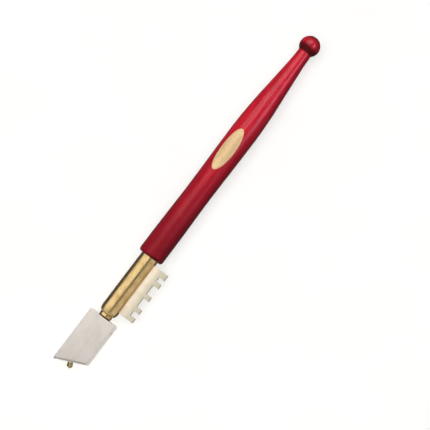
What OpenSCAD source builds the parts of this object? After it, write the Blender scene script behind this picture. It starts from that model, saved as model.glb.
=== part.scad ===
// Diamond glass cutter: a turned wooden handle with a tapping ball, a brass barrel that carries
// a notched breaking comb, and a flat head that swivels on a sprung stem and holds a diamond stud.
// The tool lies on its side. +X points from the ball to the diamond, +Y to the comb, +Z up, and
// z = 0 is the surface it lies on. Places along the tool are measured from the handle's front face.

/* [Handle] */
// Length of the handle, from the end of the ball to the front face
handle_len = 123.5; // [118:0.5:130]
// Diameter of the tapping ball
ball_d = 9.6; // [9:0.1:11]
// Diameter of the neck, where it meets the ball
neck_d = 6.4; // [6:0.1:7]
// Diameter of the swell in the palm
swell_d = 12.4; // [12:0.1:13]
// Distance from the front face back to the swell
swell_back = 69; // [64:1:74]
// Diameter of the waist under the fingers
waist_d = 11.8; // [11.4:0.1:12]
// Diameter of the front end
front_d = 12.4; // [12:0.1:13]
// Size of the rounded edge of the front face
front_edge = 1.5; // [1:0.1:1.6]
// Depth of the socket that holds the barrel
socket_depth = 14; // [12:1:18]

/* [Barrel] */
// Outside diameter of the barrel
barrel_d = 8.5; // [8.3:0.1:8.8]
// Bore of the barrel
bore_d = 6.5; // [6.4:0.1:6.7]
// Length of the barrel in front of the handle
barrel_len = 31.5; // [31:0.1:34]
// Length of the rounded nose of the barrel
nose_len = 2.9; // [2.5:0.1:3.1]
// Diameter of the collar on the nose
collar_d = 6.1; // [5.9:0.1:6.4]
// Length of the collar
collar_len = 1.6; // [1.2:0.1:2]

/* [Comb] */
// Thickness of the comb plate
comb_t = 1.5; // [1.2:0.1:1.8]
// Gap between the handle and the comb
comb_gap = 1.9; // [1.5:0.1:2.2]
// Distance from the tool's axis to the floors of the notches
notch_floor = 8.8; // [8:0.1:9.5]
// Distance from the tool's axis to the tips of the teeth
tooth_tip = 11.7; // [11:0.1:13]
// Widths of the five teeth, from the handle forwards
tooth_w = [2.75, 2.25, 2.2, 2.2, 2.3]; // each from 2 to 2.8
// Widths of the four notches, from the handle forwards
notch_w = [2.2, 4.8, 4.9, 2.5]; // each from 2 to 4.9

/* [Swivel] */
// Diameter of the swivel stem
stem_d = 3; // [2.8:0.1:3]
// Swing of the head each way, in degrees
swing = 20; // [10:1:24]
// Wire diameter of the friction spring
spring_wire = 0.6; // [0.4:0.05:0.65]
// Turns of the friction spring
spring_turns = 6.5; // [5:0.5:7]

/* [Head] */
// Width of the head plate
head_w = 14; // [13:0.5:16]
// Length of the head plate along its long side
head_len = 28; // [26:0.5:30]
// Thickness of the head plate
head_t = 6; // [5.5:0.1:7]
// Slant of the working edge, in degrees
head_slant = 25; // [20:1:28]
// Bevel along the edges of the two broad faces
head_bevel = 0.25; // [0.1:0.05:0.4]
// Diameter of the diamond stud
stud_d = 2.6; // [2.4:0.1:3]
// Length of the stud that stands out of the head
stud_len = 2.7; // [2.4:0.1:3]

/* [Hidden] */
$fn = 96;

// clearances
glue_gap = 0.02;      // between glued, pressed or soldered pieces of one body
turning_gap = 0.05;   // between the turning head and what it turns in
through = 1;          // how far a cutting tool runs past the face it cuts

// places along the tool
ball_s = ball_d / 2 - handle_len;
nose_wall_s = barrel_len - nose_len;
collar_end_s = barrel_len + collar_len;
head_washer_t = 0.35;
head_s = collar_end_s + turning_gap + head_washer_t;
comb_len = total(tooth_w) + total(notch_w);
comb_end_s = comb_gap + comb_len;

// swivel, inside the barrel
spigot_d = 5;
spigot_s = nose_wall_s - 2;
washer_t = 0.5;
spring_s = 20.15;
spring_end_s = spigot_s - washer_t - turning_gap;
spring_d = 5;
stem_head_d = 5.4;
stem_head_len = 1.2;
stem_depth = 8.7;
stop_pin_d = 1;
stop_pin_s = spigot_s + 0.85;
stop_notch_len = 1.55;
stop_notch_half = swing + asin(stop_pin_d / (stem_d + 2 * turning_gap)) + 2;
lock_pin_d = 1.5;
lock_pin_s = head_s + 4;

// comb fixing
plug_end_s = 17.4;
tang_end_s = plug_end_s - 0.5;
tang_floor = -1.6;
pin_d = 1;
pin_y = 0.8;
pin_s = [5.5, 13];

// diamond stud: it stands square to the slanted edge, where the tool's axis meets that edge
stud_s = head_s + head_len - head_w / 2 * tan(head_slant);
shank_d = 2;
shank_len = 6;
stud_dome = 1.1;
diamond_r = 0.55;
diamond_out = 0.25;

// place of the tool in its own frame
x_mid = (head_s + head_len - handle_len) / 2;
y_mid = (tooth_tip - head_w / 2) / 2;
axis_z = max(swell_d, front_d) / 2;

function total(list, i = 0) = i == len(list) ? 0 : list[i] + total(list, i + 1);

// start of tooth i along the tool
function tooth_s(i) = comb_gap + (i == 0 ? 0 : total([for (k = [0:i - 1]) tooth_w[k] + notch_w[k]]));

// slope of the diameter at station i of [place, diameter], level where it stops growing or shrinking
function slope(st, i) =
    let (
        a = max(i - 1, 0), b = min(i + 1, len(st) - 1),
        level = a < i && i < b && (st[i][1] - st[a][1]) * (st[b][1] - st[i][1]) <= 0
    )
    level ? 0 : (st[b][1] - st[a][1]) / (st[b][0] - st[a][0]);
function hermite(p, q, mp, mq, t) =
    let (h = q[0] - p[0])
    p[1] * (2 * t^3 - 3 * t^2 + 1) + q[1] * (3 * t^2 - 2 * t^3)
    + h * mp * (t^3 - 2 * t^2 + t) + h * mq * (t^3 - t^2);
// a smooth line through stations [place, diameter], as [radius, place] points
function smooth_line(st, steps) = [
    for (i = [0:len(st) - 2], k = [0:steps - 1])
        let (t = k / steps)
        [hermite(st[i], st[i + 1], slope(st, i), slope(st, i + 1), t) / 2,
         st[i][0] + t * (st[i + 1][0] - st[i][0])]
];

// an arc of [radius, place] points about a centre on or off the axis, angles from the +radius side
function arc(r0, s0, rr, rs, from, to, steps) = [
    for (k = [0:steps]) let (a = from + (to - from) * k / steps) [r0 + rr * cos(a), s0 + rs * sin(a)]
];

// places its children on the tool's axis, with the handle's front face at x = 0
module tool() {
    translate([-x_mid, -y_mid, axis_z]) children();
}

// a solid turned about the tool's axis, from [radius, place] points
module turned(points) {
    rotate([0, 90, 0]) rotate_extrude() polygon(points);
}

// a rod along the tool's axis
module rod(d, from, to) {
    translate([from, 0, 0]) rotate([0, 90, 0]) cylinder(d = d, h = to - from);
}

module handle() {
    neck_s = ball_s + sqrt(ball_d^2 - neck_d^2) / 2;
    stations = [
        [neck_s, neck_d],
        [neck_s + 5.5, neck_d + 0.5],
        [neck_s + 19, 9.1],
        [neck_s + 32.5, 11.4],
        [-swell_back, swell_d],
        [-36, waist_d],
        [-9, front_d],
        [-front_edge, front_d]
    ];
    ball_edge = acos(neck_d / ball_d);
    outline = concat(
        arc(0, ball_s, ball_d / 2, ball_d / 2, -90, ball_edge, 28),
        smooth_line(stations, 6),
        arc(front_d / 2 - front_edge * 0.8, -front_edge, front_edge * 0.8, front_edge, 0, 90, 6),
        [[0, 0]]
    );
    color("firebrick") tool() difference() {
        turned(outline);
        rod(barrel_d + 2 * glue_gap, -socket_depth - 0.2, through);
    }
}

module barrel() {
    outline = concat(
        [[0, -socket_depth], [barrel_d / 2 - 0.3, -socket_depth], [barrel_d / 2, 0.3 - socket_depth]],
        arc(collar_d / 2 - 0.1, nose_wall_s, (barrel_d - collar_d) / 2 + 0.1, nose_len, 0, 90, 8),
        [[0, barrel_len]]
    );
    slot_w = comb_t + 2 * glue_gap;
    color("goldenrod") tool() difference() {
        turned(outline);
        rod(bore_d, -socket_depth - through, nose_wall_s);
        rod(spigot_d + 2 * glue_gap, 0, barrel_len + through);
        // the slot for the comb, open at the rear end of the barrel
        translate([-socket_depth - through, 0, -slot_w / 2])
            cube([comb_end_s + glue_gap + socket_depth + through, barrel_d, slot_w]);
    }
}

// the flanged bush in the barrel's nose: its collar shows, and two notches inside stop the swing
module nose_bush() {
    edge = 0.2;
    outline = [
        [stem_d / 2 + turning_gap, spigot_s], [spigot_d / 2, spigot_s],
        [spigot_d / 2, barrel_len], [collar_d / 2 - edge, barrel_len],
        [collar_d / 2, barrel_len + edge], [collar_d / 2, collar_end_s - edge],
        [collar_d / 2 - edge, collar_end_s], [stem_d / 2 + turning_gap, collar_end_s]
    ];
    color("darkgoldenrod") tool() difference() {
        turned(outline);
        for (side = [0, 180]) rotate([side, 0, 0]) stop_notch();
    }
}

// a sector of the bush's rear end, open towards +Z, in which the stop pin swings
module stop_notch() {
    reach = spigot_d;
    translate([spigot_s - through, 0, 0]) rotate([0, 90, 0])
        linear_extrude(height = stop_notch_len + through)
            polygon([
                [0, 0],
                [-reach * cos(stop_notch_half), -reach * sin(stop_notch_half)],
                [-reach, 0],
                [-reach * cos(stop_notch_half), reach * sin(stop_notch_half)]
            ]);
}

// the dowel that fills the barrel behind the swivel and grips the tang of the comb in a kerf
module core_plug() {
    kerf_w = comb_t + 2 * glue_gap;
    kerf_s = comb_gap - 0.1;
    color("burlywood") tool() difference() {
        rod(bore_d - 2 * glue_gap, -socket_depth, plug_end_s);
        translate([kerf_s, tang_floor - glue_gap, -kerf_w / 2])
            cube([plug_end_s - kerf_s + through, bore_d, kerf_w]);
        comb_pin_rods(pin_d + 2 * glue_gap, bore_d + through);
    }
}

module comb_pin_rods(d, length) {
    for (s = pin_s) translate([s, pin_y, 0]) cylinder(d = d, h = length, center = true);
}

module comb_plate() {
    wall_floor = bore_d / 2 + turning_gap;
    teeth = [
        for (i = [0:len(tooth_w) - 1]) each
            let (from = tooth_s(i), to = tooth_s(i) + tooth_w[i])
            [[from, notch_floor], [from, tooth_tip], [to, tooth_tip], [to, notch_floor]]
    ];
    outline = concat(
        [[comb_gap, tang_floor]],
        teeth,
        [[comb_end_s, wall_floor], [tang_end_s, wall_floor], [tang_end_s, tang_floor]]
    );
    color("gainsboro") tool() difference() {
        translate([0, 0, -comb_t / 2]) linear_extrude(height = comb_t) polygon(outline);
        comb_pin_rods(pin_d + 2 * glue_gap, comb_t + through);
    }
}

// the two pins that hold the comb's tang in the core plug
module comb_pins() {
    color("silver") tool() comb_pin_rods(pin_d, 5.8);
}

module ring(d, hole, from, to) {
    difference() {
        rod(d, from, to);
        rod(hole, from - through, to + through);
    }
}

module thrust_washer() {
    color("darkgoldenrod") tool() ring(5.9, stem_d + 2 * turning_gap, spigot_s - washer_t, spigot_s);
}

module swivel_stem() {
    edge = 0.25;
    outline = [
        [0, spring_s - stem_head_len], [stem_head_d / 2 - edge, spring_s - stem_head_len],
        [stem_head_d / 2, spring_s - stem_head_len + edge], [stem_head_d / 2, spring_s],
        [stem_d / 2, spring_s], [stem_d / 2, head_s + stem_depth - edge],
        [stem_d / 2 - edge, head_s + stem_depth], [0, head_s + stem_depth]
    ];
    color("silver") tool() difference() {
        turned(outline);
        translate([stop_pin_s, 0, 0]) cylinder(d = stop_pin_d + 2 * glue_gap, h = spigot_d, center = true);
        translate([lock_pin_s, 0, 0]) rotate([90, 0, 0])
            cylinder(d = lock_pin_d + 2 * glue_gap, h = spigot_d, center = true);
    }
}

// a coil of round wire about the stem, with a closed turn at each end
module friction_spring() {
    sides = 6;
    per_turn = 18;
    rings = round(spring_turns * per_turn);
    mean_r = (spring_d - spring_wire) / 2;
    closed = spring_wire * 1.03;
    open_pitch = (spring_end_s - spring_s - spring_wire - 2 * closed) / (spring_turns - 2);
    function lift(t) = t < 1 ? closed * t
        : t > spring_turns - 1 ? closed * (t - spring_turns + 2) + open_pitch * (spring_turns - 2)
        : closed + open_pitch * (t - 1);
    function ring_point(k, j) =
        let (t = k / per_turn, a = 360 * t, b = 360 * j / sides, r = mean_r + spring_wire / 2 * cos(b))
        [spring_s + spring_wire / 2 + lift(t) + spring_wire / 2 * sin(b), r * cos(a), r * sin(a)];
    points = [for (k = [0:rings], j = [0:sides - 1]) ring_point(k, j)];
    walls = [
        for (k = [0:rings - 1], j = [0:sides - 1]) each
            let (a = k * sides + j, b = k * sides + (j + 1) % sides, c = a + sides, d = b + sides)
            [[a, c, b], [b, c, d]]
    ];
    start = [for (j = [0:sides - 1]) j];
    end = [for (j = [sides - 1:-1:0]) rings * sides + j];
    color("silver") tool() polyhedron(points, concat([start], walls, [end]));
}

// the cross pin of the stem that stops the swing in the bush's notches
module stop_pin() {
    color("gray") tool() translate([stop_pin_s, 0, 0])
        cylinder(d = stop_pin_d, h = spigot_d - 0.3, center = true);
}

module head_washer() {
    color("dimgray") tool() ring(5.8, stem_d + 2 * glue_gap, head_s - head_washer_t, head_s);
}

// the head plate's outline in plan
module head_plan() {
    w = head_w / 2;
    far = head_s + head_len;
    polygon([[head_s, w], [head_s, -w], [far, -w], [far - head_w * tan(head_slant), w]]);
}

// a plate of the head's outline, centred on the tool's axis plane and drawn in from its edges
module head_layer(thickness, inset) {
    translate([0, 0, -thickness / 2]) linear_extrude(height = thickness)
        offset(delta = -inset) head_plan();
}

module head_plate() {
    color("lightgray") tool() difference() {
        hull() {
            head_layer(head_t, head_bevel);
            head_layer(head_t - 2 * head_bevel, 0);
        }
        rod(stem_d + 2 * glue_gap, head_s - through, head_s + stem_depth + 0.3);
        translate([lock_pin_s, 0, 0]) rotate([90, 0, 0])
            cylinder(d = lock_pin_d + 2 * glue_gap, h = head_w + through, center = true);
        stud_frame() translate([0, 0, -shank_len - 0.2])
            cylinder(d = shank_d + 2 * glue_gap, h = shank_len + through);
    }
}

// the pin through head plate and stem, from one narrow side to the other
module stem_lock_pin() {
    color("silver") tool() translate([lock_pin_s, 0, 0]) rotate([90, 0, 0])
        cylinder(d = lock_pin_d, h = head_w - 0.2, center = true);
}

// the slanted edge's own frame: its origin where the tool's axis meets it, +Z out of the head
module stud_frame() {
    translate([stud_s, 0, 0]) rotate([0, 0, head_slant]) rotate([0, 90, 0]) children();
}

module diamond_stud() {
    outline = concat(
        [[0, -shank_len], [shank_d / 2 - 0.2, -shank_len], [shank_d / 2, 0.2 - shank_len],
         [shank_d / 2, 0.02], [stud_d / 2, 0.02]],
        arc(0, stud_len - stud_dome, stud_d / 2, stud_dome, 0, 90, 10)
    );
    color("goldenrod") tool() stud_frame() difference() {
        rotate_extrude() polygon(outline);
        stone(diamond_r * 1.04);
    }
}

// an octahedral stone on the end of the stud
module stone(r) {
    height = 1.15 * r;
    translate([0, 0, stud_len + diamond_out - 1.15 * diamond_r]) polyhedron(
        [[r, 0, 0], [0, r, 0], [-r, 0, 0], [0, -r, 0], [0, 0, height], [0, 0, -height]],
        [for (i = [0:3]) each [[(i + 1) % 4, i, 4], [i, (i + 1) % 4, 5]]]
    );
}

module diamond_tip() {
    color("slategray") tool() stud_frame() stone(diamond_r);
}

handle();
barrel();
nose_bush();
core_plug();
comb_plate();
comb_pins();
thrust_washer();
swivel_stem();
friction_spring();
stop_pin();
head_washer();
head_plate();
stem_lock_pin();
diamond_stud();
diamond_tip();
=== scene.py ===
"""A diamond glass cutter: the looks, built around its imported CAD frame.

Lengths are in metres in the row frame: +X points from the ball to the diamond, +Y to the comb, and
+Z up. Patterns in the materials are laid out in millimetres. The line of a turned piece is a list
of (x, radius).
"""

import math

import bmesh
import bpy
from mathutils import Matrix, Vector, noise


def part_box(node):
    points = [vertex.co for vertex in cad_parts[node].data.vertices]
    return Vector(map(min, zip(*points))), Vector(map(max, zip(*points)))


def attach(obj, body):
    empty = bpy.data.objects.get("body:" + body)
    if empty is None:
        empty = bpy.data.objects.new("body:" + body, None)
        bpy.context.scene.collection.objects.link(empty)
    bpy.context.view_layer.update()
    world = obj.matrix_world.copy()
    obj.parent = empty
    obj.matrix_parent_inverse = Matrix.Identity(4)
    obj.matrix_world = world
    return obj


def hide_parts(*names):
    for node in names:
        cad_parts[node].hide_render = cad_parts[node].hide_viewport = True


MM = 0.001

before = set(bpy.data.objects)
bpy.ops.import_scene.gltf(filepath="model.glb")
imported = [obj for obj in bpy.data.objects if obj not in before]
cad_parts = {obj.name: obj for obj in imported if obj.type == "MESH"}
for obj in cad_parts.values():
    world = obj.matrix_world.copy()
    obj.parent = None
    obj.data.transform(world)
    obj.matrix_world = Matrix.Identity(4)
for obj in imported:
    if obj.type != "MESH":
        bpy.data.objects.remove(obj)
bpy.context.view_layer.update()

HANDLE_BODY, HEAD_BODY = "handle_body", "swivel_head"

# the CAD pieces that places and sizes are worked out from
handle_low, handle_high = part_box("handle")
barrel_low, barrel_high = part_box("barrel")
comb_low, comb_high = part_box("comb_plate")
head_low, head_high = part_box("head_plate")

# a point of the tool's axis, the two ends of the handle, and the barrel's radius
AXIS = Vector((0, (barrel_low.y + barrel_high.y) / 2, (barrel_low.z + barrel_high.z) / 2))
BALL_X, FRONT_X = handle_low.x, handle_high.x
BARREL_R = (barrel_high.y - barrel_low.y) / 2

# left between two pieces that are glued or pressed together
GLUE_GAP = 0.02 * MM
# points closer than this are one point
SAME_POINT = 0.001 * MM
# faces that meet at more than this show a crease
SMOOTH_ANGLE = math.radians(32)

# how far the floor reaches from the tool, and the backdrop stands from it
STAGE_REACH = 6.0


# ---------------------------------------------------------------- mesh helpers


def opened(mesh):
    """A bmesh that holds a copy of the mesh."""
    work = bmesh.new()
    work.from_mesh(mesh)
    return work


def made(work, name):
    """A new mesh from a bmesh, which is freed."""
    mesh = bpy.data.meshes.new(name)
    work.to_mesh(mesh)
    work.free()
    return mesh


def shade_by_angle(mesh):
    """Smooth shading, with a crease wherever two faces meet at more than SMOOTH_ANGLE."""
    work = opened(mesh)
    for face in work.faces:
        face.smooth = True
    for edge in work.edges:
        edge.smooth = len(edge.link_faces) == 2 and edge.calc_face_angle() < SMOOTH_ANGLE
    work.to_mesh(mesh)
    work.free()


def finish_piece(name, mesh, material, body, slot, *nodes):
    """Links a mesh as a piece that rides on a body and stands for the CAD nodes named."""
    mesh.name = name
    mesh.materials.clear()
    mesh.materials.append(material)
    shade_by_angle(mesh)
    piece = bpy.data.objects.new(name, mesh)
    bpy.context.scene.collection.objects.link(piece)
    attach(piece, body)
    if nodes:
        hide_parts(*nodes)
    return piece


def round_axis(x, radius, turn):
    """The point at x and a radius from the tool's axis, turned from straight up to the comb."""
    return x, AXIS.y + radius * math.sin(turn), AXIS.z + radius * math.cos(turn)


def join_rings(work, rings, count):
    """Faces from each ring to the next. A ring has count points, or one where it is a pole."""
    for a, b in zip(rings, rings[1:]):
        for k in range(count):
            n = (k + 1) % count
            corners = [a[k % len(a)], a[n % len(a)], b[n % len(b)], b[k % len(b)]]
            work.faces.new(list(dict.fromkeys(corners)))


def turned_mesh(line, segments=144, closed=False, wobble=0.0):
    """A mesh turned about the tool's axis. A closed line is a ring's section.

    wobble is how far hand turning has taken the surface in from its true radius, at most.
    """
    pole_r, wobble_length = 0.01 * MM, 6 * MM
    work = bmesh.new()
    rings = []
    for x, radius in line:
        if radius < pole_r:
            rings.append([work.verts.new(round_axis(x, 0, 0))])
            continue
        ring = []
        for k in range(segments):
            turn = 2 * math.pi * k / segments
            spot = Vector((x / wobble_length, math.cos(turn), math.sin(turn)))
            drop = wobble * (0.5 + 0.5 * noise.noise(spot))
            ring.append(work.verts.new(round_axis(x, radius - drop, turn)))
        rings.append(ring)
    join_rings(work, rings + rings[:1] if closed else rings, segments)
    bmesh.ops.recalc_face_normals(work, faces=work.faces)
    return made(work, "turned")


def box_mesh(low, high):
    """A box between two corners."""
    work = bmesh.new()
    bmesh.ops.create_cube(work, size=1)
    low, high = Vector(low), Vector(high)
    for vertex in work.verts:
        vertex.co = (low + high) / 2 + vertex.co * (high - low)
    return made(work, "box")


def with_modifier(mesh, kind, **settings):
    """A new mesh: the one given with a modifier applied."""
    holder = bpy.data.objects.new("holder", mesh)
    bpy.context.scene.collection.objects.link(holder)
    modifier = holder.modifiers.new(kind, kind)
    for key, value in settings.items():
        setattr(modifier, key, value)
    bpy.context.view_layer.update()
    evaluated = holder.evaluated_get(bpy.context.evaluated_depsgraph_get())
    result = bpy.data.meshes.new_from_object(evaluated)
    bpy.data.objects.remove(holder)
    return result


def merged(mesh):
    """The mesh with its double points made one, and the slivers between them gone."""
    work = opened(mesh)
    bmesh.ops.remove_doubles(work, verts=work.verts, dist=SAME_POINT)
    bmesh.ops.dissolve_degenerate(work, dist=SAME_POINT, edges=work.edges)
    return made(work, mesh.name)


def combined(mesh, operation, other_mesh):
    """What a boolean operation leaves of a mesh and another."""
    other = bpy.data.objects.new("other", other_mesh)
    bpy.context.scene.collection.objects.link(other)
    result = with_modifier(mesh, "BOOLEAN", operation=operation, object=other, solver="EXACT")
    bpy.data.objects.remove(other)
    return merged(result)


def rounded_node(node, width, segments=3):
    """The mesh of a CAD node, with its flat faces made whole and its sharp edges rounded."""
    flat, sharp = math.radians(0.5), math.radians(35)
    work = opened(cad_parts[node].data)
    bmesh.ops.remove_doubles(work, verts=work.verts, dist=SAME_POINT)
    bmesh.ops.dissolve_limit(work, angle_limit=flat, verts=work.verts, edges=work.edges)
    return with_modifier(
        made(work, node), "BEVEL", width=width, segments=segments, limit_method="ANGLE",
        angle_limit=sharp, use_clamp_overlap=True,
    )


# ---------------------------------------------------------------- lines of turned pieces


def arc(centre_x, centre_r, half_x, half_r, start, end, steps=16):
    """Points of an elliptical arc, with angles in degrees from the +x side to larger radius."""
    angles = [math.radians(start + (end - start) * k / steps) for k in range(steps + 1)]
    return [(centre_x + half_x * math.cos(a), centre_r + half_r * math.sin(a)) for a in angles]


def outer_line(node, hollow_from, hollow_r):
    """The outside of a turned CAD node: the largest radius at each place along it.

    Points of its own hollow, past hollow_from and no wider than hollow_r, are left out.
    """
    widest = {}
    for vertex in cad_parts[node].data.vertices:
        x = round(vertex.co.x, 6)
        radius = math.hypot(vertex.co.y - AXIS.y, vertex.co.z - AXIS.z)
        if x < hollow_from or radius > hollow_r:
            widest[x] = max(widest.get(x, 0), radius)
    return sorted(widest.items())


def corner_angle(before, here, after):
    """How far the line turns at a point."""
    way_in, way_out = Vector(here) - Vector(before), Vector(after) - Vector(here)
    return way_in.angle(way_out, 0)


def refined(line, corner=math.radians(22), parts=4):
    """The line with each smooth stretch resampled along a Catmull-Rom curve. Corners stay sharp."""
    last = len(line) - 1
    sharp = [i in (0, last) or corner_angle(*line[i - 1:i + 2]) > corner for i in range(last + 1)]
    fine = []
    for i in range(last):
        start, end = Vector(line[i]), Vector(line[i + 1])
        before = start - (end - start) if sharp[i] else Vector(line[i - 1])
        after = end + (end - start) if sharp[i + 1] else Vector(line[i + 2])
        span = (end - start).length
        slope_in = (end - before) / (span + (start - before).length) * span
        slope_out = (after - start) / ((after - end).length + span) * span
        for k in range(parts):
            t = k / parts
            point = (
                start * (2 * t**3 - 3 * t**2 + 1) + slope_in * (t**3 - 2 * t**2 + t)
                + end * (3 * t**2 - 2 * t**3) + slope_out * (t**3 - t**2)
            )
            fine.append((point.x, max(point.y, 0.0)))
    return fine + [line[-1]]


def eased(line, x, reach, steps=6):
    """The line with its corner at x rounded over a reach either side."""
    i = min(range(len(line)), key=lambda k: abs(line[k][0] - x))
    corner = Vector(line[i])
    before = [p for p in line[:i] if (Vector(p) - corner).length >= reach]
    after = [p for p in line[i + 1:] if (Vector(p) - corner).length >= reach]
    start, end = Vector(before[-1]), Vector(after[0])
    curve = []
    for k in range(1, steps):
        t = k / steps
        point = start * (1 - t) ** 2 + corner * 2 * t * (1 - t) + end * t**2
        curve.append((point.x, point.y))
    return before + curve + after


def radius_at(line, x):
    """The radius of a line at x."""
    for (x0, r0), (x1, r1) in zip(line, line[1:]):
        if x0 <= x <= x1 and x1 > x0:
            return r0 + (r1 - r0) * (x - x0) / (x1 - x0)
    raise ValueError(f"the line has no point at x = {x}")


# ---------------------------------------------------------------- the head plate's plan


def slant_near_x():
    """Where the head plate's slanted end meets its side nearest the comb."""
    points = [v.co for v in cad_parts["head_plate"].data.vertices]
    return max(p.x for p in points if p.y > head_high.y - 0.01 * MM)


def slanted_normal():
    """Outward normal of the head plate's slanted end."""
    edge = Vector((slant_near_x() - head_high.x, head_high.y - head_low.y, 0))
    return Vector((edge.y, -edge.x, 0)).normalized()


def head_planes():
    """The head plate's outer faces as (outward normal, distance from the origin on the axis)."""
    slant = slanted_normal()
    tip = Vector((head_high.x, head_low.y, AXIS.z)) - AXIS
    planes = [((-1, 0, 0), -head_low.x), (tuple(slant), tip.dot(slant))]
    for axis in (1, 2):
        for side, corner in ((-1, head_low), (1, head_high)):
            normal = [0.0, 0.0, 0.0]
            normal[axis] = float(side)
            planes.append((tuple(normal), side * (corner - AXIS)[axis]))
    return planes


def inset_corners(corners, insets):
    """The corners of a plan after side k, from corner k to the next, has moved in by insets[k]."""
    count = len(corners)
    sides = []
    for k in range(count):
        start, end = Vector(corners[k]), Vector(corners[(k + 1) % count])
        way = (end - start).normalized()
        sides.append((start + Vector((-way.y, way.x)) * insets[k], way))
    moved = []
    for k in range(count):
        (start, way), (next_start, next_way) = sides[k - 1], sides[k]
        step = (next_start - start).cross(next_way) / way.cross(next_way)
        moved.append(start + way * step)
    return moved


def rounded_plan(corners, radius, steps=6):
    """A counter-clockwise plan with each corner rounded, as points in order."""
    points = []
    for k, corner in enumerate(corners):
        before = (corners[k - 1] - corner).normalized()
        after = (corners[(k + 1) % len(corners)] - corner).normalized()
        half = before.angle(after) / 2
        centre = corner + (before + after).normalized() * radius / math.sin(half)
        first = corner + before * radius / math.tan(half) - centre
        for i in range(steps + 1):
            turn = (math.pi - 2 * half) * i / steps
            points.append(centre + Matrix.Rotation(turn, 2) @ first)
    return points


def rounded_plate(corners, roundings, low_z, high_z, height, corner_r, steps=6):
    """A plate with rounded edges. Side k is rounded over roundings[k] of its width and over height.

    The plan's corners are rounded too, by corner_r, which is halved at the two flat faces.
    """
    angles = [math.pi / 2 * i / steps for i in range(steps + 1)]
    rows = [(1 - math.cos(a), height * (1 - math.sin(a))) for a in angles]
    levels = [(share, low_z + depth) for share, depth in reversed(rows)]
    levels += [(share, high_z - depth) for share, depth in rows]
    work = bmesh.new()
    loops = []
    for share, z in levels:
        narrowed = inset_corners(corners, [r * share for r in roundings])
        plan = rounded_plan(narrowed, corner_r * (1 - 0.5 * share))
        loops.append([work.verts.new((p.x, p.y, z)) for p in plan])
    join_rings(work, loops, len(loops[0]))
    work.faces.new(loops[0][::-1])
    work.faces.new(loops[-1])
    bmesh.ops.recalc_face_normals(work, faces=work.faces)
    return made(work, "plate")


# ---------------------------------------------------------------- materials


def tone(red, green, blue):
    """A linear colour from everyday 0-255 values."""
    def linear(v):
        v /= 255
        return v / 12.92 if v <= 0.04045 else ((v + 0.055) / 1.055) ** 2.4
    return (linear(red), linear(green), linear(blue), 1.0)


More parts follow.
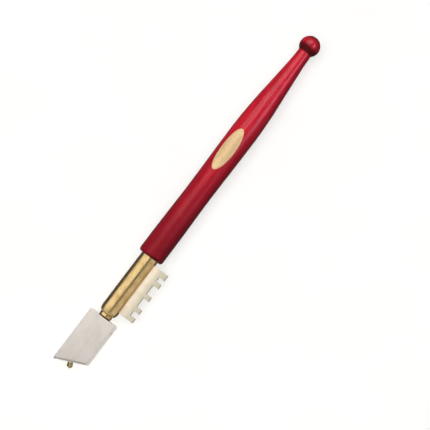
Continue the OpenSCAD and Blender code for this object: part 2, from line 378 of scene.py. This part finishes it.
class Surface:
    """A Principled material whose patterns lie in the piece's own coordinates, in millimetres."""

    def __init__(self, name, **sockets):
        self.material = bpy.data.materials.new(name)
        self.material.use_nodes = True
        self.nodes = self.material.node_tree.nodes
        self.links = self.material.node_tree.links
        self.shader = self.nodes["Principled BSDF"]
        for socket, value in sockets.items():
            self.shader.inputs[socket.replace("_", " ")].default_value = value
        coordinates = self.nodes.new("ShaderNodeTexCoord").outputs["Object"]
        centred = self.vector("SUBTRACT", coordinates, AXIS)
        self.place = self.vector("SCALE", centred, scale=1 / MM)

    def put(self, socket, value):
        """Sets a socket to a value, or links it to an output."""
        if isinstance(value, bpy.types.NodeSocket):
            self.links.new(value, socket)
        else:
            socket.default_value = value

    def feed(self, socket, value):
        """Sets or links a socket of the shader."""
        self.put(self.shader.inputs[socket], value)

    def vector(self, operation, a, b=None, scale=None):
        """A vector operation's result."""
        node = self.nodes.new("ShaderNodeVectorMath")
        node.operation = operation
        self.put(node.inputs[0], a)
        if b is not None:
            self.put(node.inputs[1], b)
        if scale is not None:
            node.inputs["Scale"].default_value = scale
        return node.outputs["Value" if operation == "DOT_PRODUCT" else "Vector"]

    def math(self, operation, a, b=0.0):
        """A number operation's result."""
        node = self.nodes.new("ShaderNodeMath")
        node.operation = operation
        self.put(node.inputs[0], a)
        self.put(node.inputs[1], b)
        return node.outputs[0]

    def grain(self, per_mm, detail=4.0, roughness=0.55, distortion=0.0, offset=(0, 0, 0)):
        """Noise from 0 to 1. per_mm is how fast it changes along x, y and z."""
        stretched = self.vector("MULTIPLY", self.place, per_mm)
        moved = self.vector("ADD", stretched, offset)
        node = self.nodes.new("ShaderNodeTexNoise")
        self.links.new(moved, node.inputs["Vector"])
        node.inputs["Scale"].default_value = 1.0
        node.inputs["Detail"].default_value = detail
        node.inputs["Roughness"].default_value = roughness
        node.inputs["Distortion"].default_value = distortion
        return node.outputs[0]

    def span(self, value, low, high, to_low=0.0, to_high=1.0):
        """value from low..high mapped to to_low..to_high, smoothly and no further."""
        node = self.nodes.new("ShaderNodeMapRange")
        node.interpolation_type = "SMOOTHSTEP"
        self.put(node.inputs["Value"], value)
        node.inputs["From Min"].default_value = low
        node.inputs["From Max"].default_value = high
        node.inputs["To Min"].default_value = to_low
        node.inputs["To Max"].default_value = to_high
        return node.outputs["Result"]

    def along(self, axis):
        """The place along one axis, in millimetres."""
        direction = [float(letter == axis) for letter in "xyz"]
        return self.vector("DOT_PRODUCT", self.place, direction)

    def mixed(self, share, a, b):
        """Colour a, with b over it by a share from 0 to 1."""
        node = self.nodes.new("ShaderNodeMix")
        node.data_type = "RGBA"
        self.put(node.inputs["Factor"], share)
        colour_a, colour_b = [s for s in node.inputs if s.type == "RGBA"]
        self.put(colour_a, a)
        self.put(colour_b, b)
        return next(s for s in node.outputs if s.type == "RGBA")

    def bump(self, height, depth_mm, strength=1.0):
        """Relief of a height from 0 to 1, depth_mm deep, over any relief already there."""
        node = self.nodes.new("ShaderNodeBump")
        node.inputs["Strength"].default_value = strength
        node.inputs["Distance"].default_value = depth_mm * MM
        self.links.new(height, node.inputs["Height"])
        normal = self.shader.inputs["Normal"]
        if normal.is_linked:
            self.links.new(normal.links[0].from_socket, node.inputs["Normal"])
        self.links.new(node.outputs["Normal"], normal)

    def near_edges(self, planes, width_mm):
        """1 on the edges where two of the planes meet and 0 inside them.

        A plane is (outward normal, distance), from the origin on the tool's axis.
        """
        total = -1.0
        for normal, distance in planes:
            outward = self.vector("DOT_PRODUCT", self.place, normal)
            depth = self.math("SUBTRACT", distance / MM, outward)
            total = self.math("ADD", self.span(depth, 0.0, width_mm, 1.0, 0.0), total)
        return self.math("MAXIMUM", total, 0.0)


def lacquered_wood():
    """Turned wood under red lacquer: grain lines along the handle, and a clear glossy coat."""
    look = Surface("red_lacquer", Roughness=0.45, Specular_IOR_Level=0.12, Coat_Weight=0.78,
                   Coat_Roughness=0.20, Coat_IOR=1.5)
    fibres = look.grain((0.05, 2.2, 2.2), detail=6, roughness=0.6)
    bands = look.grain((0.02, 0.30, 0.30), detail=2, distortion=0.6, offset=(7, 3, 1))
    pores = look.grain((0.25, 9.0, 9.0), detail=3, roughness=0.5)
    clouds = look.grain((0.09, 0.16, 0.16), detail=2, offset=(2, 9, 4))
    red = look.mixed(look.span(fibres, 0.38, 0.66), tone(220, 29, 52), tone(188, 20, 40))
    red = look.mixed(look.span(bands, 0.46, 0.62, 0.0, 0.45), red, tone(168, 14, 34))
    red = look.mixed(look.span(clouds, 0.45, 0.75, 0.0, 0.35), red, tone(222, 44, 60))
    red = look.mixed(look.span(pores, 0.60, 0.74, 0.0, 0.5), red, tone(128, 10, 24))

    # painted shade: the red darkens unevenly towards the front, as if that end were in shadow
    ball_end, front_end = BALL_X / MM, FRONT_X / MM
    along = look.along("x")
    uneven = look.math("ADD", along, look.span(clouds, 0.3, 0.7, -0.5, 0.5))
    painted_front_shade = look.span(uneven, front_end - 76, front_end - 4, 0.0, 0.68)
    red = look.mixed(painted_front_shade, red, tone(104, 8, 22))

    # painted shade also darkens the ball's end, the ball's side by the neck and the front rim
    painted_ball_end_shade = look.span(uneven, ball_end + 0.2, ball_end + 3.2, 0.88, 0.0)
    red = look.mixed(painted_ball_end_shade, red, tone(84, 8, 18))
    # painted shade on the ball's lower side, by the neck
    past_middle = look.span(uneven, ball_end + 3.9, ball_end + 6.4, 0.0, 0.92)
    before_neck = look.span(along, ball_end + 8.2, ball_end + 8.7, 1.0, 0.0)
    # painted shade on the front rim
    painted_rim_shade = look.span(uneven, front_end - 1.5, front_end - 0.5, 0.0, 0.85)
    painted_shade = look.math("MAXIMUM", look.math("MULTIPLY", past_middle, before_neck), painted_rim_shade)
    look.feed("Base Color", look.mixed(painted_shade, red, tone(70, 8, 12)))

    look.feed("Roughness", look.span(fibres, 0.3, 0.7, 0.34, 0.48))
    look.bump(fibres, 0.012, 0.5)
    look.bump(pores, 0.010, 0.4)
    return look.material


def gold_foil():
    """Pale gold leaf under lacquer: finely crazed, and rubbed thin to the ground in places."""
    look = Surface("gold_foil", Metallic=0.35, Roughness=0.42, Coat_Weight=0.6,
                   Coat_Roughness=0.2)
    flecks = look.grain((3.0, 3.0, 3.0), detail=5, roughness=0.7)
    worn = look.grain((0.5, 0.9, 0.9), detail=3, offset=(4, 1, 6))
    rubbed = look.grain((0.7, 1.6, 1.6), detail=6, roughness=0.75, offset=(8, 2, 3))
    gold = look.mixed(look.span(worn, 0.4, 0.7), tone(248, 214, 160), tone(240, 200, 144))
    gold = look.mixed(look.span(flecks, 0.60, 0.8, 0.0, 0.5), gold, tone(214, 160, 108))
    gold = look.mixed(look.span(rubbed, 0.66, 0.76, 0.0, 0.6), gold, tone(206, 120, 84))
    look.feed("Base Color", gold)
    look.feed("Roughness", look.span(flecks, 0.3, 0.7, 0.36, 0.54))
    look.bump(flecks, 0.02, 0.6)
    return look.material


def turned_brass():
    """Polished brass with fine turning lines round it, and a warmer patina in clouds."""
    look = Surface("turned_brass", Metallic=1.0, Roughness=0.24)
    rings = look.grain((5.0, 0.12, 0.12), detail=4, roughness=0.65)
    drawn = look.grain((0.10, 3.2, 3.2), detail=3, roughness=0.6, offset=(5, 5, 2))
    patina = look.grain((0.22, 0.35, 0.35), detail=4, roughness=0.6, offset=(1, 8, 3))
    brass = look.mixed(look.span(patina, 0.42, 0.70), tone(222, 193, 138), tone(198, 163, 107))
    brass = look.mixed(look.span(drawn, 0.55, 0.80, 0.0, 0.35), brass, tone(176, 138, 86))
    look.feed("Base Color", brass)
    look.feed("Roughness", look.span(patina, 0.35, 0.7, 0.23, 0.34))
    look.bump(rings, 0.004, 0.5)
    look.bump(drawn, 0.004, 0.4)
    return look.material


def satin_nickel():
    """The head plate: nickel ground lengthwise, brighter and smoother along its worn edges."""
    look = Surface("satin_nickel", Metallic=1.0, Roughness=0.40)
    brushed = look.grain((0.30, 7.0, 7.0), detail=5, roughness=0.7)
    streaks = look.grain((0.06, 1.1, 1.1), detail=3, roughness=0.6, offset=(3, 2, 8))
    tarnish = look.grain((0.12, 0.18, 0.18), detail=4, roughness=0.6, distortion=0.4,
                         offset=(9, 4, 2))
    worn = look.near_edges(head_planes(), 0.7)
    nickel = look.mixed(look.span(tarnish, 0.35, 0.75), tone(234, 227, 220), tone(224, 217, 209))
    nickel = look.mixed(look.span(streaks, 0.50, 0.75, 0.0, 0.30), nickel, tone(210, 202, 195))
    nickel = look.mixed(look.span(worn, 0.2, 1.0, 0.0, 0.8), nickel, tone(244, 239, 232))
    look.feed("Base Color", nickel)
    polish = look.math("MULTIPLY", worn, 0.14)
    look.feed("Roughness", look.math("SUBTRACT", look.span(brushed, 0.3, 0.7, 0.34, 0.48), polish))
    look.bump(brushed, 0.006, 0.6)
    look.bump(streaks, 0.008, 0.3)
    return look.material


def burnished_brass():
    """Old brass of the setting: olive where it has tarnished, brighter where it rubs."""
    look = Surface("burnished_brass", Metallic=1.0, Roughness=0.30)
    tarnish = look.grain((1.6, 1.6, 1.6), detail=4, roughness=0.6, offset=(3, 3, 7))
    rings = look.grain((6.0, 6.0, 1.0), detail=3)
    brass = look.mixed(look.span(tarnish, 0.35, 0.65), tone(222, 206, 150), tone(140, 126, 76))
    look.feed("Base Color", brass)
    look.feed("Roughness", look.span(tarnish, 0.3, 0.7, 0.13, 0.26))
    look.bump(rings, 0.006, 0.5)
    return look.material


def comb_nickel():
    """Stamped steel under warm nickel: a rolled surface, duller and greener out on the teeth."""
    look = Surface("comb_nickel", Metallic=1.0, Roughness=0.38)
    rolled = look.grain((0.5, 4.0, 4.0), detail=4, roughness=0.65)
    clouds = look.grain((0.25, 0.30, 0.30), detail=4, offset=(6, 2, 5))
    teeth_end = (comb_high.y - AXIS.y) / MM
    outward = look.span(look.along("y"), teeth_end - 6.6, teeth_end - 3.0)
    nickel = look.mixed(look.span(clouds, 0.40, 0.70), tone(244, 229, 208), tone(230, 212, 190))
    look.feed("Base Color", look.mixed(outward, nickel, tone(208, 201, 178)))
    look.feed("Roughness", look.span(rolled, 0.3, 0.7, 0.32, 0.46))
    look.bump(rolled, 0.006, 0.6)
    return look.material


def plug_wood():
    """Bare beech dowel: pale, with short dark flecks along the grain."""
    look = Surface("plug_wood", Roughness=0.62)
    fibres = look.grain((0.08, 2.6, 2.6), detail=5)
    flecks = look.grain((0.7, 6.0, 6.0), detail=2, offset=(3, 1, 1))
    wood = look.mixed(look.span(fibres, 0.35, 0.7), tone(212, 172, 122), tone(178, 132, 84))
    wood = look.mixed(look.span(flecks, 0.62, 0.72, 0.0, 0.6), wood, tone(128, 86, 50))
    look.feed("Base Color", wood)
    look.feed("Roughness", look.span(fibres, 0.3, 0.7, 0.55, 0.75))
    look.bump(fibres, 0.03)
    return look.material


def drawn_steel(name, bright, dull, roughness):
    """Drawn steel with lines along it and a light film of oil stains."""
    look = Surface(name, Metallic=1.0, Roughness=roughness)
    lines = look.grain((0.25, 8.0, 8.0), detail=4)
    stains = look.grain((0.5, 0.5, 0.5), detail=4, offset=(2, 7, 1))
    look.feed("Base Color", look.mixed(look.span(stains, 0.4, 0.7), bright, dull))
    look.feed("Roughness", look.span(stains, 0.3, 0.7, roughness * 0.8, roughness * 1.3))
    look.bump(lines, 0.004, 0.6)
    return look.material


def set_diamond():
    """A small dark stone, with faint inclusions."""
    look = Surface("diamond", Roughness=0.06, IOR=2.4, Transmission_Weight=0.35)
    inclusions = look.grain((4.0, 4.0, 4.0), detail=3)
    stone = look.mixed(look.span(inclusions, 0.45, 0.6), tone(70, 68, 66), tone(34, 32, 30))
    look.feed("Base Color", stone)
    look.feed("Roughness", look.span(inclusions, 0.3, 0.7, 0.04, 0.12))
    return look.material


def pale_floor():
    """A matt, nearly white floor."""
    look = Surface("pale_floor", Roughness=0.75, Specular_IOR_Level=0.1)
    mottle = look.grain((0.02, 0.02, 0.02), detail=2)
    pale = look.mixed(look.span(mottle, 0.3, 0.7), tone(247, 246, 244), tone(244, 243, 241))
    look.feed("Base Color", pale)
    return look.material


def pale_backdrop():
    """The backdrop's own pale light, of the floor's colour, which needs no lamp."""
    look = Surface("pale_backdrop", Base_Color=(0, 0, 0, 1), Roughness=1.0, Emission_Strength=1.0)
    mottle = look.grain((0.0005, 0.0005, 0.0005), detail=2)
    pale = look.mixed(look.span(mottle, 0.3, 0.7), tone(250, 249, 246), tone(247, 246, 243))
    look.feed("Emission Color", pale)
    return look.material


# ---------------------------------------------------------------- pieces


def handle_outline():
    """The handle's outside, from the end of the ball to the front face, with its crease eased."""
    in_ball, past_neck, crease = 6 * MM, 12 * MM, 0.45 * MM
    line = refined(outer_line("handle", barrel_low.x - MM, BARREL_R + 0.1 * MM))
    start = line[0][0]
    near_neck = [p for p in line if start + in_ball < p[0] < start + past_neck]
    neck_x = min(near_neck, key=lambda p: p[1])[0]
    return eased(line, neck_x, crease)


def make_handle(outline, material):
    """The turned handle, with the socket that the barrel is glued into."""
    socket_r, mouth, wobble = BARREL_R + GLUE_GAP, 0.15 * MM, 0.03 * MM
    bottom = barrel_low.x - 0.2 * MM
    outside = [p for p in outline if p[0] < FRONT_X - SAME_POINT or p[1] > socket_r + mouth]
    socket = [
        (FRONT_X, socket_r + mouth), (FRONT_X - mouth, socket_r),
        (bottom, socket_r), (bottom, 0.0),
    ]
    mesh = turned_mesh(outside + socket, segments=160, wobble=wobble)
    return finish_piece("turned_handle", mesh, material, HANDLE_BODY, "handle_lacquer", "handle")


def make_foil(outline, material):
    """An oval panel of foil on the swell, bent round the handle, with a raised plain border."""
    half_length, half_width = 11 * MM, 3.5 * MM
    centre_x, turned_to = FRONT_X - 59 * MM, math.radians(-3)
    thickness, border_rise, sunk = 0.05 * MM, 0.03 * MM, 0.01 * MM
    field_end, field_rings, steps = 0.86, 8, 128

    # shares of the way out from the middle, with the height above the wood
    field = [(k / field_rings * field_end, thickness) for k in range(field_rings)]
    border_shape = [(field_end, 0), (0.875, 0.7), (0.89, 1), (0.93, 1), (0.945, 0.7), (0.96, 0)]
    border = [(share, thickness + border_rise * rise) for share, rise in border_shape]
    top = field + border + [(0.985, thickness), (1.0, 0.4 * thickness)]
    underside = [(share, -sunk) for share, _ in reversed(top)]

    work = bmesh.new()
    rings = []
    for share, lift in top + underside:
        ring = []
        for k in range(steps if share else 1):
            turn = 2 * math.pi * k / steps
            x = centre_x + half_length * share * math.cos(turn)
            radius = radius_at(outline, x) + lift
            angle = turned_to + half_width * share * math.sin(turn) / radius
            ring.append(work.verts.new(round_axis(x, radius, angle)))
        rings.append(ring)
    join_rings(work, rings, steps)
    bmesh.ops.recalc_face_normals(work, faces=work.faces)
    return finish_piece("foil_panel", made(work, "foil"), material, HANDLE_BODY, "gold_foil")


def make_barrel(material):
    """The brass tube, with its rounded nose, and the slot that the comb sits in."""
    rear, front = barrel_low.x, barrel_high.x
    bore_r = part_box("core_plug")[1].y - AXIS.y + GLUE_GAP
    nose_length, nose_r, bush_r, rear_edge = 2.9 * MM, 2.95 * MM, 2.52 * MM, 0.3 * MM
    section = (
        [(rear, bore_r), (rear, BARREL_R - rear_edge), (rear + rear_edge, BARREL_R)]
        + arc(front - nose_length, nose_r, nose_length, BARREL_R - nose_r, 90, 0, 20)
        + [(front, bush_r), (front - nose_length, bush_r), (front - nose_length, bore_r)]
    )
    slot_half = (comb_high.z - comb_low.z) / 2 + GLUE_GAP
    slot = box_mesh(
        (rear - MM, AXIS.y, AXIS.z - slot_half),
        (comb_high.x + GLUE_GAP, AXIS.y + 2 * BARREL_R, AXIS.z + slot_half),
    )
    mesh = combined(turned_mesh(section, closed=True), "DIFFERENCE", slot)
    return finish_piece("brass_barrel", mesh, material, HANDLE_BODY, "brass", "barrel")


def make_comb(material):
    """The breaking comb, with the soft edges that stamping and plating leave."""
    mesh = rounded_node("comb_plate", 0.14 * MM)
    return finish_piece("breaking_comb", mesh, material, HANDLE_BODY, "comb_nickel", "comb_plate")


def make_head(material):
    """The flat head. Its edges are eased, and the slanted working edge is ground back further.

    The eased outside is a skin smaller than the CAD plate, which then cuts its bores.
    """
    skin, edge, ground_back, corner_r = 0.005 * MM, 0.45 * MM, 1.1 * MM, 0.5 * MM
    corners = [
        (head_low.x, head_low.y), (head_high.x, head_low.y),
        (slant_near_x(), head_high.y), (head_low.x, head_high.y),
    ]
    outside = rounded_plate(
        inset_corners(corners, [skin] * 4), (edge, ground_back, edge, edge),
        head_low.z + skin, head_high.z - skin, edge, corner_r,
    )
    mesh = combined(outside, "INTERSECT", merged(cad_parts["head_plate"].data))
    return finish_piece("head_bar", mesh, material, HEAD_BODY, "head_nickel", "head_plate")


def make_stud(material):
    """The brass setting of the stone: a groove at its root, a domed end, a lip round the stone.

    Its line starts at the middle of the slanted end and is turned about the tool's axis, and the
    mesh is then laid square to that end.
    """
    way = slanted_normal()
    root = Vector(((slant_near_x() + head_high.x) / 2, AXIS.y, AXIS.z))
    around = [v.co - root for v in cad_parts["diamond_stud"].data.vertices]
    radius = max((c - way * c.dot(way)).length for c in around)
    shank_end, top = min(c.dot(way) for c in around), max(c.dot(way) for c in around)

    shank_r, shank_chamfer = radius - 0.3 * MM, 0.2 * MM
    root_gap, root_chamfer = 0.02 * MM, 0.08 * MM
    groove_at, groove_half, groove_depth = 0.62 * MM, 0.16 * MM, 0.14 * MM
    dome, lip_r, lip_edge = 1.1 * MM, 0.74 * MM, 0.07 * MM
    seat_r, seat_depth, seat_edge = 0.56 * MM, 0.42 * MM, 0.04 * MM
    lip_angle = math.degrees(math.asin(lip_r / radius))
    domed_end = arc(top - dome, 0, dome, radius, 90, lip_angle, 12)
    lip_x = domed_end[-1][0]
    line = (
        [(shank_end, 0.0), (shank_end, shank_r - shank_chamfer),
         (shank_end + shank_chamfer, shank_r), (root_gap, shank_r),
         (root_gap, radius - root_chamfer), (root_gap + root_chamfer, radius)]
        + arc(groove_at, radius, groove_half, -groove_depth, 180, 0, 8)
        + domed_end
        + [(lip_x + lip_edge, lip_r - lip_edge), (lip_x + seat_edge, seat_r),
           (lip_x - seat_depth, seat_r - seat_edge), (lip_x - seat_depth, 0.0)]
    )
    mesh = turned_mesh(line, segments=64)
    lay = Matrix.Rotation(math.atan2(way.y, way.x), 4, "Z")
    mesh.transform(Matrix.Translation(root) @ lay @ Matrix.Translation(-AXIS))
    return finish_piece("stone_setting", mesh, material, HEAD_BODY, "brass", "diamond_stud")


def keep_node(node, material):
    """Keeps a CAD node's shape and gives it a finished material."""
    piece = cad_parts[node]
    for face in piece.data.polygons:
        face.use_smooth = True
    piece.data.materials.clear()
    piece.data.materials.append(material)
    split = piece.modifiers.new("crease", "EDGE_SPLIT")
    split.split_angle = SMOOTH_ANGLE
    return piece


# ---------------------------------------------------------------- camera, floor and light


def make_camera():
    """Looks down on the tool from a little towards the comb and the tip, rolled as it is held."""
    view_from = Vector((0.047, 0.175, 0.984)).normalized()
    tool_turn = math.radians(232.9)
    distance, lens = 0.6, 112.9
    aim = Vector((-1.4 * MM, 9.6 * MM, AXIS.z))
    tool_way = Vector((1, 0, 0))
    along = (tool_way - view_from * tool_way.dot(view_from)).normalized()
    across = view_from.cross(along)
    right = along * math.cos(tool_turn) - across * math.sin(tool_turn)
    up = view_from.cross(right)
    camera = bpy.data.objects.new("camera", bpy.data.cameras.new("camera"))
    camera.data.lens = lens
    turn = Matrix((right, up, view_from)).transposed().to_4x4()
    camera.matrix_world = Matrix.Translation(aim + view_from * distance) @ turn
    bpy.context.scene.collection.objects.link(camera)
    bpy.context.scene.camera = camera


def stage_piece(name, points, faces, material, unseen_by):
    """A floor or backdrop, which the kinds of ray named don't see."""
    mesh = bpy.data.meshes.new(name)
    mesh.from_pydata(points, [], faces)
    mesh.materials.append(material)
    piece = bpy.data.objects.new(name, mesh)
    bpy.context.scene.collection.objects.link(piece)
    for ray in unseen_by:
        setattr(piece, f"visible_{ray}", False)
    return piece


def make_floor():
    """A flat floor. The glow lights stand for its reflections and its bounce on the tool."""
    corners = ((-1, -1), (1, -1), (1, 1), (-1, 1))
    points = [(x * STAGE_REACH, y * STAGE_REACH, 0) for x, y in corners]
    return stage_piece("floor", points, [(0, 1, 2, 3)], pale_floor(), ("glossy", "diffuse"))


def make_backdrop():
    """A round pale wall far behind the tool, which only the camera sees."""
    height, below_floor, steps = 6.0, 0.01, 96
    points = []
    for z in (-below_floor, height):
        for k in range(steps):
            turn = 2 * math.pi * k / steps
            points.append((STAGE_REACH * math.cos(turn), STAGE_REACH * math.sin(turn), z))
    faces = [(k, (k + 1) % steps, steps + (k + 1) % steps, steps + k) for k in range(steps)]
    stage_piece("backdrop", points, faces, pale_backdrop(),
                ("diffuse", "glossy", "transmission", "shadow"))


def make_world():
    """A dim grey room all round, and colours shown as they are."""
    world = bpy.data.worlds.new("studio")
    bpy.context.scene.world = world
    world.use_nodes = True
    world.node_tree.nodes["Background"].inputs["Color"].default_value = (0.09, 0.09, 0.09, 1)
    bpy.context.scene.view_settings.view_transform = "Standard"


def softbox(name, receivers, blockers, *, size, power, side=0.0, lean=0.0, distance=0.9,
            tint=(1.0, 1.0, 1.0)):
    """An area light that faces the tool, and falls on the receivers alone.

    Only the blockers cast its shadows. size is (width across the tool, length along it). side is
    in degrees from straight up towards the comb, and lean from there towards the tip.
    """
    lamp = bpy.data.lights.new(name, "AREA")
    lamp.shape = "RECTANGLE"
    lamp.size, lamp.size_y = size
    lamp.energy, lamp.color = power, tint
    side, tilt = math.radians(side), math.radians(lean)
    back = Vector((
        math.sin(tilt), math.sin(side) * math.cos(tilt), math.cos(side) * math.cos(tilt)
    ))
    long_way = (Vector((1, 0, 0)) - back * back.x).normalized()
    wide_way = long_way.cross(back)
    turn = Matrix((wide_way, long_way, back)).transposed()
    box = bpy.data.objects.new(name, lamp)
    box.matrix_world = Matrix.Translation(AXIS + back * distance) @ turn.to_4x4()
    box.visible_camera = False
    box.light_linking.receiver_collection = receivers
    box.light_linking.blocker_collection = blockers
    bpy.context.scene.collection.objects.link(box)
    return box


def group_of(name, objects):
    """A collection of objects for light linking. It isn't part of the scene."""
    group = bpy.data.collections.new(name)
    for obj in objects:
        group.objects.link(obj)
    return group


def light_metal(metal, head_only, nose, tool):
    """A large key light, and glows that stand for the pale floor and walls round the tool."""
    softbox("metal_key", metal, tool, side=-28.3, lean=-10, size=(1.70, 0.95), power=5.85,
            tint=(1.0, 0.99, 0.97))
    softbox("side_glow", metal, tool, side=75.5, size=(1.43, 1.2), power=3.6,
            tint=(1.0, 0.96, 0.92))
    softbox("floor_glow", head_only, tool, side=180, size=(1.6, 1.6), power=5.6, distance=0.4)
    softbox("rear_glow", metal, tool, lean=-86, size=(1.4, 2.0), power=5.85)
    softbox("tip_glow", metal, tool, lean=92, size=(2.4, 2.2), power=9.2)
    softbox("nose_glow", nose, tool, side=-28, lean=30, size=(1.7, 0.45), power=1.7)


def light_lacquer(plain, tool):
    """One set of lights gives the body of the lacquer's colour, and another its gloss."""
    body = [
        softbox("wood_key", plain, tool, side=-17, lean=-23, size=(0.76, 1.10), power=4.4,
                tint=(1.0, 0.98, 0.98)),
        softbox("ball_end", plain, tool, side=-6, lean=-50, size=(0.6, 0.6), power=3.4),
        softbox("tip_end", plain, tool, side=-6, lean=50, size=(0.6, 0.6), power=4.2),
    ]
    for light in body:
        light.visible_glossy = False
    gloss = [
        softbox("wood_gloss", plain, tool, side=-20, lean=-30, size=(0.76, 0.80), power=2.7,
                tint=(1.0, 0.96, 0.96)),
        softbox("strip", plain, tool, side=53, lean=-24, size=(0.40, 0.55), power=1.8,
                tint=(0.92, 0.74, 1.0)),
    ]
    for light in gloss:
        light.visible_diffuse = False


def light_floor(floor, tool):
    """Two far and very large lights, so the floor is even: one that the tool shades, one not."""
    ground = group_of("ground_only", [floor])
    far = {"size": (36, 36), "distance": 28}
    softbox("ground", ground, tool, power=4200, **far)
    softbox("ground_level", ground, ground, power=8000, **far)


# ---------------------------------------------------------------- the scene

make_camera()
floor = make_floor()
make_backdrop()
make_world()

brass = turned_brass()
steel = drawn_steel("drawn_steel", tone(196, 196, 198), tone(150, 148, 146), 0.28)
blackened = drawn_steel("blackened_steel", tone(70, 64, 58), tone(44, 40, 36), 0.4)

outline = handle_outline()
handle = make_handle(outline, lacquered_wood())
foil = make_foil(outline, gold_foil())
comb = make_comb(comb_nickel())
head = make_head(satin_nickel())
barrel = make_barrel(brass)
stud = make_stud(burnished_brass())
bush, washer = [keep_node(node, brass) for node in ("nose_bush", "thrust_washer")]
steel_nodes = ("comb_pins", "swivel_stem", "friction_spring", "stop_pin", "stem_lock_pin")

metal_pieces = [comb, head, barrel, stud, bush, washer]
metal_pieces += [keep_node(node, steel) for node in steel_nodes]
plain_pieces = [
    handle, foil, keep_node("head_washer", blackened), keep_node("core_plug", plug_wood()),
    keep_node("diamond_tip", set_diamond()),
]

tool = group_of("tool", plain_pieces + metal_pieces)
plain = group_of("lacquer_and_wood", plain_pieces)
metal = group_of("metal", metal_pieces)
light_metal(metal, group_of("head_only", [head]), group_of("nose", [barrel, comb, bush]), tool)
light_lacquer(plain, tool)
light_floor(floor, tool)
